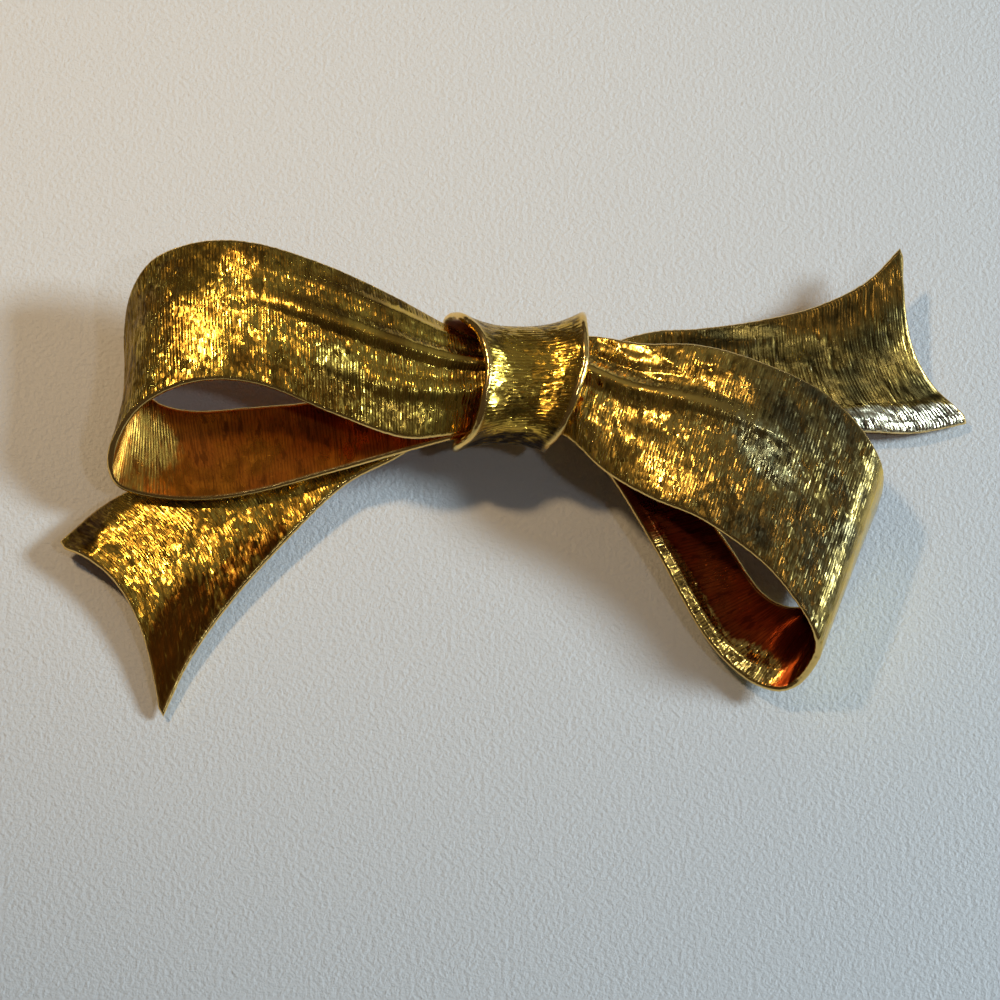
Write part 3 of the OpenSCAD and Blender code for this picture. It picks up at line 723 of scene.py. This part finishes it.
    # a film that changes slowly over the plate, and only lies along part of the strip
    along_mm = node("ShaderNodeSeparateXYZ", {0: place}).outputs[0]
    sets_in = node("ShaderNodeMapRange", {0: along_mm, 1: dull_along[0], 2: dull_along[1]},
                   interpolation_type="SMOOTHSTEP")
    ends = node("ShaderNodeMapRange", {0: along_mm, 1: dull_along[2], 2: dull_along[3]},
                interpolation_type="SMOOTHSTEP")
    filmed = node("ShaderNodeMath", {0: sets_in, 1: ends}, operation="SUBTRACT")
    film = node("ShaderNodeMapRange", {0: mottle(FILM_MM, 4.0, 0.5), 1: 0.36, 2: 0.64,
                                       3: dulled[0], 4: dulled[1]}, interpolation_type="SMOOTHSTEP")
    film = node("ShaderNodeMath", {0: film, 1: filmed}, operation="MULTIPLY")
    # the worn places and the places of painted highlight, reflection and shade have ragged edges
    ragged = node("ShaderNodeMath", {0: mottle(RAGGED_MM, 3.0, 0.6), 1: 1.6, 2: worn_and_painted_light_mask},
                  operation="MULTIPLY_ADD")
    worn_and_painted_light_share = node("ShaderNodeMapRange", {0: ragged, 1: 1.0, 2: 1.7}, interpolation_type="SMOOTHSTEP")
    # mix in the film, the worn places and the places of painted highlight, reflection and shade, the
    # patina with its painted shade in the cuts, and the rims painted paler, partly as a highlight
    plate = linear(gold)
    for share, tone in ((film, dull), (worn_and_painted_light_share, worn_and_painted_light), (cut, patina_and_painted_shade), (rim, RIM_WEAR_AND_HIGHLIGHT_GOLD)):
        plate = node("ShaderNodeMix", {"Factor": share, 6: plate, 7: linear(tone)},
                     data_type="RGBA").outputs[2]
    gloss = node("ShaderNodeMapRange", {0: mottle(GLOSS_MM, 2.0, 0.6, (2.0, 8.0, 5.0)),
                                        1: 0.35, 2: 0.65, 3: PLATE_ROUGH_LEAST * rough,
                                        4: PLATE_ROUGH_MOST * rough},
                 interpolation_type="SMOOTHSTEP")
    for share, value in ((film, FILM_ROUGH * rough), (cut, CUT_ROUGH), (polished, POLISHED_ROUGH),
                         (worn_and_painted_light_share, worn_and_painted_light_rough), (rim, RIM_ROUGH)):
        gloss = node("ShaderNodeMix", {"Factor": share, "A": gloss, "B": value}, data_type="FLOAT")
    shader = node("ShaderNodeBsdfPrincipled", {"Base Color": plate, "Metallic": 1.0,
                                               "Roughness": gloss, "Normal": bump})
    node("ShaderNodeOutputMaterial", {"Surface": shader})
    return material


def tumbled_brass(name):
    """Brass bar and wire with a gold wash, tumbled: a soft even gloss, with faint grain and tone."""
    material = new_material(name)
    node = partial(add, material.node_tree)
    at = node("ShaderNodeTexCoord").outputs["Object"]
    grain = node("ShaderNodeTexNoise", {"Vector": at, "Scale": 1 / (TUMBLED_MM * MM), "Detail": 3.0})
    tone = node("ShaderNodeMix", {"Factor": grain, 6: linear("#D9B368"), 7: linear("#B58A45")},
                data_type="RGBA").outputs[2]
    gloss = node("ShaderNodeMapRange", {0: grain, 3: 0.28, 4: 0.45})
    bump = node("ShaderNodeBump", {"Height": grain, "Distance": TUMBLED_DEPTH * MM})
    shader = node("ShaderNodeBsdfPrincipled", {"Base Color": tone, "Metallic": 1.0,
                                               "Roughness": gloss, "Normal": bump})
    node("ShaderNodeOutputMaterial", {"Surface": shader})
    return material


def pebbled_laminate(name):
    """White laminate pressed with a fine pebble grain: matt, with a small shadow beside each pebble."""
    material = new_material(name)
    node = partial(add, material.node_tree)
    at = node("ShaderNodeTexCoord").outputs["Object"]
    pebble = node("ShaderNodeTexNoise", {"Vector": at, "Scale": 1 / (PEBBLE_MM * MM), "Detail": 3.0,
                                         "Roughness": 0.6})
    bump = node("ShaderNodeBump", {"Height": pebble, "Distance": PEBBLE_DEPTH * MM, "Strength": 1.0})
    shader = node("ShaderNodeBsdfPrincipled", {"Base Color": linear("#D6D5D0"), "Roughness": 0.5,
                                               "Normal": bump})
    node("ShaderNodeOutputMaterial", {"Surface": shader})
    return material


# Finishes
# Left loop: the brightest plate, whose hammered flats glint orange and pale yellow between dark cuts
bark_gold = gold_plate(
    "Gold plate, bark engraved", gold="#F0CC5A", dull="#8E6428", dulled=(0.1, 0.75),
    patina_and_painted_shade="#2A1804", worn_and_painted_light="#A8862E", rough=0.12, comb_mm=0.017, graver_mm=0.015, flat_mm=0.13)
# Left tail: the same plate with fainter gouges, and shade painted dark brown along its near side, at its
# tip and at its far corner
left_tail_gold_in_painted_shade = gold_plate(
    "Gold plate, bark engraved, tip in painted shade", gold="#F8CE58", dull="#8E6420", dulled=(0.1, 0.6),
    patina_and_painted_shade="#331C05", worn_and_painted_light="#50300C", rough=0.12, comb_mm=0.012, graver_mm=0.006, flat_mm=0.12,
    worn_and_painted_light_rough=0.35)
# Right loop: a grey-green film between the knot and the fold, a pale painted highlight on its face, and a
# painted cream reflection round the fold
dull_gold = gold_plate(
    "Gold plate, bark engraved, dulled", gold="#F2C860", dull="#665C3E", dulled=(0.7, 1.0),
    patina_and_painted_shade="#241A08", worn_and_painted_light="#CCC288", rough=0.14, comb_mm=0.012, graver_mm=0.012, flat_mm=0.12,
    worn_and_painted_light_rough=0.2, dull_along=(12.0, 23.0, 31.8, 33.4))
# Right tail: olive and even, with a pale painted reflection along its near edge
tail_gold = gold_plate(
    "Gold plate, bark engraved, dulled tail", gold="#D0A850", dull="#564A28", dulled=(0.5, 1.0),
    patina_and_painted_shade="#1A1406", worn_and_painted_light="#F0E6C0", rough=0.16, comb_mm=0.010, graver_mm=0.012, flat_mm=0.05,
    worn_and_painted_light_relief=2.2, worn_and_painted_light_rough=0.28, dull_along=(8.0, 14.0, 90.0, 91.0))
# Inner faces: hardly engraved, satin, and painted orange-brown: a painted reflection of gold in gold and
# painted shade
inside_gold_painted_shade = gold_plate(
    "Gold plate, plain inside", gold="#C8741E", dull="#964C16", dulled=(0.0, 0.9),
    patina_and_painted_shade="#5A2C0C", worn_and_painted_light="#B08C3C", rough=0.20, comb_mm=0.002, graver_mm=0.001, flat_mm=0.001,
    worn_and_painted_light_relief=7.0, worn_and_painted_light_rough=0.34)
# Inside of the right loop: painted redder and darker as shade, with pale gold painted as a highlight along
# the engraved edge of the lower layer and at the tip
inside_red_painted_shade = gold_plate(
    "Gold plate, plain inside, in painted red shade", gold="#98461A", dull="#6C220C", dulled=(0.2, 0.9),
    patina_and_painted_shade="#3C1208", worn_and_painted_light="#F0C868", rough=0.18, comb_mm=0.002, graver_mm=0.003, flat_mm=0.010,
    worn_and_painted_light_relief=9.0, worn_and_painted_light_rough=0.18)
# Knot: bright yellow plate with strong lines from lip to lip, and dark patches of painted shade
knot_gold = gold_plate(
    "Gold plate, knot", gold="#F4C850", dull="#9A7838", dulled=(0.0, 0.5), patina_and_painted_shade="#20160A",
    worn_and_painted_light="#2C1A06", rough=0.11, comb_mm=0.016, graver_mm=0.014, flat_mm=0.11, worn_and_painted_light_rough=0.42)
pin_metal = tumbled_brass("Gold-washed brass, tumbled")
table = pebbled_laminate("White laminate, fine pebble grain")

# The brooch: its rows, its pleats, its worn places and its places of painted light and shade, and its
# smooth and leaning places
left_loop_rows = np.concatenate([
    gripped(TOP_GRIP_LEFT, -1, CREST_LEVEL),
    spread(LEFT_TOP, -1, LEFT_LOOP_REACH, LEFT_LOOP_SPREAD, LOOP_RISE, LOOP_CAMBER),
    spread(LEFT_UNDER, -1, LEFT_LOOP_REACH, LEFT_LOOP_SPREAD, UNDER_LEVEL, LOOP_CAMBER),
    gripped(UNDER_GRIP_LEFT, -1, UNDER_LEVEL)])
right_loop_rows = np.concatenate([
    gripped(TOP_GRIP_RIGHT, 1, CREST_LEVEL),
    spread(RIGHT_TOP, 1, RIGHT_LOOP_REACH, RIGHT_LOOP_SPREAD, LOOP_RISE, LOOP_CAMBER),
    spread(RIGHT_UNDER, 1, RIGHT_LOOP_REACH, RIGHT_LOOP_SPREAD, UNDER_LEVEL, LOOP_CAMBER),
    gripped(UNDER_GRIP_RIGHT, 1, UNDER_LEVEL)])
left_tail_rows = np.concatenate([
    gripped(TAIL_GRIP_LEFT, -1, TAIL_LEVEL),
    spread(LEFT_OUT, -1, LEFT_TAIL_REACH, LEFT_TAIL_SPREAD, TAIL_LEVEL, TAIL_CAMBER)])
right_tail_rows = np.concatenate([
    gripped(TAIL_GRIP_RIGHT, 1, TAIL_LEVEL),
    spread(RIGHT_OUT, 1, RIGHT_TAIL_REACH, RIGHT_TAIL_SPREAD, TAIL_LEVEL, TAIL_CAMBER)])

# Crisp pleats: start, end, near side, crest and far side as shares of the width, height in mm,
# how smooth the crest is, then where it grows from, is full from, is full to and has gone by
LEFT_PLEATS = [
    [0.57, 0.57, 0.035, 0.055, 0.16, 0.32, 0.8, -1.00, 0.00, 0.18, 0.36],
    [0.87, 0.81, 0.035, 0.055, 0.40, 0.20, 1.0, -1.00, 0.00, 0.15, 0.30],
    [0.36, 0.24, 0.050, 0.060, 0.06, 0.16, 0.0, -1.00, 0.00, 0.14, 0.28]]
RIGHT_PLEATS = [
    [0.57, 0.64, 0.045, 0.035, 0.17, 0.42, 1.0, -1.00, 0.00, 0.24, 0.42],
    [0.99, 0.99, 0.220, 0.010, 0.20, 0.80, 0.0, -1.00, 0.00, 0.22, 0.32],
    [0.36, 0.40, 0.080, 0.040, 0.10, 0.20, 0.0, -1.00, 0.00, 0.18, 0.32],
    [0.00, 0.00, 0.010, 0.000, 0.16, 0.50, 0.0, 0.62, 0.70, 0.90, 0.98]]
LEFT_TAIL_PLEATS = [
    [0.86, 0.88, 0.450, 0.000, 0.13, 0.50, 0.0, 0.40, 0.60, 1.10, 1.20]]
RIGHT_TAIL_PLEATS = [
    [0.10, 0.10, 0.100, 0.010, 0.09, 0.40, 0.0, -1.00, 0.00, 1.10, 1.20]]

# Polished places, worn places and places of painted light and shade on the sheets: along mm, across mm,
# half length, half width, share
LEFT_WORN = [[43.0, 4.8, 2.8, 3.0, 0.8], [38.5, 6.0, 7.0, 12.0, 0.62]]
# right loop: pale gold painted as a highlight along the inner edge of the lower layer and at the tip, a
# pale painted highlight on the face, and a painted cream reflection round the fold
RIGHT_PAINTED_LIGHT = [[50.0, 0.6, 8.0, 1.2, 0.9], [44.0, 1.2, 3.0, 1.8, 0.9], [22.0, 8.0, 4.6, 2.7, 0.5],
              [36.0, 7.0, 3.4, 40.0, 0.45]]
# left tail: dark brown painted shade at its tip, along its near side and at its far corner
LEFT_TAIL_PAINTED_SHADE = [[37.5, 2.0, 8.0, 3.8, 1.0], [30.0, 0.8, 9.0, 2.6, 0.8],
                  [37.0, 15.5, 9.0, 1.6, 0.65]]
# right tail: a pale painted reflection along its near edge
RIGHT_TAIL_PAINTED_REFLECTION = [[31.5, 0.6, 8.0, 1.8, 1.0]]
LEFT_SMOOTH = [[26.8, 3.6, 1.8, 2.6, 0.3]]
RIGHT_SMOOTH = [[9.5, 10.2, 4.5, 1.2, 0.5], [36.4, 7.0, 4.2, 40.0, 0.75]]
LEFT_TAIL_SMOOTH = [[38.0, 2.0, 6.5, 3.0, 0.8]]

# Where the hammered flats lean one way: along mm, across mm, half length, half width, slope along
# and slope across
LEFT_LEAN = [
    [23.8, 10.2, 1.8, 1.2, -0.13, 0.16], [15.0, 4.3, 2.4, 1.6, 0.31, 0.26],
    [9.5, 1.6, 4.0, 1.4, 0.10, -0.03], [28.0, 10.5, 3.6, 3.4, -0.14, -0.14],
    [43.0, 5.0, 2.6, 3.2, -0.08, 0.20], [55.0, 4.0, 11.0, 16.0, -0.24, 0.04]]
RIGHT_LEAN = [
    [9.5, 10.0, 5.0, 1.4, -0.02, 0.55], [6.6, 8.7, 1.8, 1.0, -0.05, 0.45],
    [10.9, 5.8, 2.2, 1.6, 0.01, 0.18], [14.8, 1.9, 3.0, 1.5, 0.19, -0.17],
    [22.3, 8.0, 3.2, 2.2, -0.28, 0.22], [16.5, 11.2, 3.5, 1.4, 0.17, 0.36],
    [52.0, 0.5, 6.5, 1.1, 0.24, -0.44], [44.2, 1.1, 2.6, 1.4, 0.33, -0.18],
    [42.3, 5.4, 2.6, 3.2, -0.32, 0.00]]
LEFT_TAIL_LEAN = [
    [34.8, 9.6, 4.5, 3.4, -0.04, -0.12], [31.0, 7.5, 7.5, 4.4, -0.03, -0.08],
    [37.5, 15.5, 6.0, 1.6, 0.15, -0.30]]
RIGHT_TAIL_LEAN = [
    [23.5, 7.6, 4.5, 1.6, -0.12, 0.36], [19.5, 9.2, 4.5, 0.8, -0.22, 0.68],
    [31.0, 2.0, 7.0, 0.6, 0.00, 0.32], [31.0, 0.7, 7.0, 0.5, 0.00, -0.40]]
# knot: patches of painted shade
KNOT_PAINTED_SHADE = [[19.2, 5.0, 1.6, 5.5, 0.8], [17.4, 8.6, 1.4, 1.2, 0.7], [13.8, 4.3, 2.6, 0.9, 0.35]]
KNOT_LEAN = [
    [11.1, 7.2, 1.6, 1.2, -0.13, -0.02], [15.6, 6.3, 1.4, 1.2, 0.45, 0.02],
    [15.2, 1.4, 1.2, 1.1, 0.42, 0.10], [12.0, 1.3, 1.1, 0.8, -0.28, -0.05],
    [11.3, 8.7, 0.7, 0.5, -0.15, -0.20]]

left_loop = strip_object(
    "ribbon_loop_left", left_loop_rows, -1, LEFT_FOLDS, LEFT_PLEATS, LOOP_STEPS,
    wear_and_painted_light=LEFT_WORN, smooth=LEFT_SMOOTH, lean=LEFT_LEAN)
right_loop = strip_object(
    "ribbon_loop_right", right_loop_rows, 1, RIGHT_FOLDS, RIGHT_PLEATS, LOOP_STEPS,
    wear_and_painted_light=RIGHT_PAINTED_LIGHT, smooth=RIGHT_SMOOTH, lean=RIGHT_LEAN)
left_tail = strip_object(
    "ribbon_tail_left", left_tail_rows, -1, LEFT_TAIL_FOLDS, LEFT_TAIL_PLEATS, TAIL_STEPS,
    hollow=LEFT_NOTCH / LEFT_TAIL_REACH, wear_and_painted_light=LEFT_TAIL_PAINTED_SHADE, smooth=LEFT_TAIL_SMOOTH,
    lean=LEFT_TAIL_LEAN)
right_tail = strip_object(
    "ribbon_tail_right", right_tail_rows, 1, RIGHT_TAIL_FOLDS, RIGHT_TAIL_PLEATS, TAIL_STEPS,
    hollow=RIGHT_NOTCH / RIGHT_TAIL_REACH, wear_and_painted_light=RIGHT_TAIL_PAINTED_REFLECTION, lean=RIGHT_TAIL_LEAN)
knot = knot_object("knot_band", wear_and_painted_light=KNOT_PAINTED_SHADE, lean=KNOT_LEAN)

# Each piece reads its own slice of the noise, by its seed
SEED_STEP, KNOT_SEED = 11.0, 61.0
engraving = engraving_tree()
for number, (piece, finish, inside) in enumerate((
        (left_loop, bark_gold, inside_gold_painted_shade), (right_loop, dull_gold, inside_red_painted_shade),
        (left_tail, left_tail_gold_in_painted_shade, inside_gold_painted_shade), (right_tail, tail_gold, inside_gold_painted_shade))):
    engrave(piece, engraving, finish, inside, Seed=number * SEED_STEP)
engrave(knot, engraving, knot_gold, inside_gold_painted_shade, Seed=KNOT_SEED, Dent_depth_mm=0.03,
        Groove_depth_mm=0.03)

for piece, node in ((left_loop, "left_loop"), (right_loop, "right_loop"), (left_tail, "left_tail"),
                    (right_tail, "right_tail"), (knot, "knot")):
    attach(piece, "root")
    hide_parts(node)

for obj in bpy.data.objects:
    if obj.type == "MESH" and obj.name.startswith("pin_back"):
        obj.data.materials.clear()
        obj.data.materials.append(pin_metal)

# The table, lights and camera: places and sizes in mm, cone and elevation in degrees
TABLE_HALF = 1500.0
WARM_LAMP_AT, WARM_LAMP_AIM = (-244, 205, 509), (-44, 53, 0)
WARM_LAMP_RADIUS, WARM_LAMP_CONE = 31, 21.5
COOL_WINDOW_AT, COOL_WINDOW_AIM, COOL_WINDOW_SIDE = (496, 35, 336), (20, 20, 0), 120
PALE_WINDOW_AT, PALE_WINDOW_AIM, PALE_WINDOW_SIDE = (215, -151, 494), (0, 0, 0), 34
PALE_SIDE_OF_ROOM = (0.369, 0.526, 0.766)
CAMERA_TARGET, CAMERA_DISTANCE, CAMERA_ELEVATION = (-1.36, -2.75, 5.55), 330, 70
CAMERA_SENSOR, CAMERA_LENS = 36, 143.4

corner = TABLE_HALF * MM
floor_mesh = bpy.data.meshes.new("table_top")
floor_mesh.from_pydata([(-corner, -corner, 0), (corner, -corner, 0), (corner, corner, 0),
                        (-corner, corner, 0)], [], [(0, 1, 2, 3)])
floor = bpy.data.objects.new("table_top", floor_mesh)
floor.data.materials.append(table)
bpy.context.scene.collection.objects.link(floor)


def lamp(name, kind, at, aim, watts, colour, **settings):
    """A lamp at one place in mm, aimed at another, with the settings that its kind takes."""
    data = bpy.data.lights.new(name, kind)
    for key, value in settings.items():
        setattr(data, key, value)
    data.energy = watts
    data.color = linear(colour)[:3]
    obj = bpy.data.objects.new(name, data)
    spot = Vector(at) * MM
    turn = (Vector(aim) * MM - spot).to_track_quat("-Z", "Y")
    obj.matrix_world = Matrix.Translation(spot) @ turn.to_matrix().to_4x4()
    bpy.context.scene.collection.objects.link(obj)


lamp("warm_lamp_far_left", "SPOT", WARM_LAMP_AT, WARM_LAMP_AIM, 7.3, "#FFDDAE",
     shadow_soft_size=WARM_LAMP_RADIUS * MM, spot_size=math.radians(WARM_LAMP_CONE), spot_blend=1.0)
for name, at, aim, side, watts, colour in (
        ("cool_window_right", COOL_WINDOW_AT, COOL_WINDOW_AIM, COOL_WINDOW_SIDE, 3.75, "#D4EAFC"),
        ("pale_window_front", PALE_WINDOW_AT, PALE_WINDOW_AIM, PALE_WINDOW_SIDE, 0.22, "#E6F0FF")):
    lamp(name, "AREA", at, aim, watts, colour, shape="RECTANGLE", size=side * MM, size_y=side * MM)

# a dim room: brown overhead and around, paler and greyer towards the far right
room = bpy.data.worlds.new("dim room")
bpy.context.scene.world = room
room.use_nodes = True
room.node_tree.nodes.clear()
room_node = partial(add, room.node_tree)
looking = room_node("ShaderNodeTexCoord").outputs["Generated"]
towards = room_node("ShaderNodeVectorMath", {0: looking, 1: PALE_SIDE_OF_ROOM},
                    operation="DOT_PRODUCT").outputs["Value"]
pale = room_node("ShaderNodeMapRange", {0: towards, 1: 0.70, 2: 0.95}, interpolation_type="SMOOTHSTEP")
room_tone = room_node("ShaderNodeMix", {"Factor": pale, 6: linear("#423A34"), 7: linear("#737271")},
                      data_type="RGBA").outputs[2]
room_shader = room_node("ShaderNodeBackground", {"Color": room_tone, "Strength": 1.0})
room_node("ShaderNodeOutputWorld", {"Surface": room_shader})

camera_data = bpy.data.cameras.new("camera")
camera = bpy.data.objects.new("camera", camera_data)
bpy.context.scene.collection.objects.link(camera)
elevation = math.radians(CAMERA_ELEVATION)
back = Vector((0, -math.cos(elevation), math.sin(elevation)))
camera_at = Vector(CAMERA_TARGET) * MM + back * CAMERA_DISTANCE * MM
camera.matrix_world = Matrix.Translation(camera_at) @ back.to_track_quat("Z", "Y").to_matrix().to_4x4()
camera_data.sensor_width = CAMERA_SENSOR
camera_data.lens = CAMERA_LENS
camera_data.clip_start = 10 * MM
bpy.context.scene.camera = camera

view = bpy.context.scene.view_settings
view.view_transform = "Standard"
view.exposure = 0.0
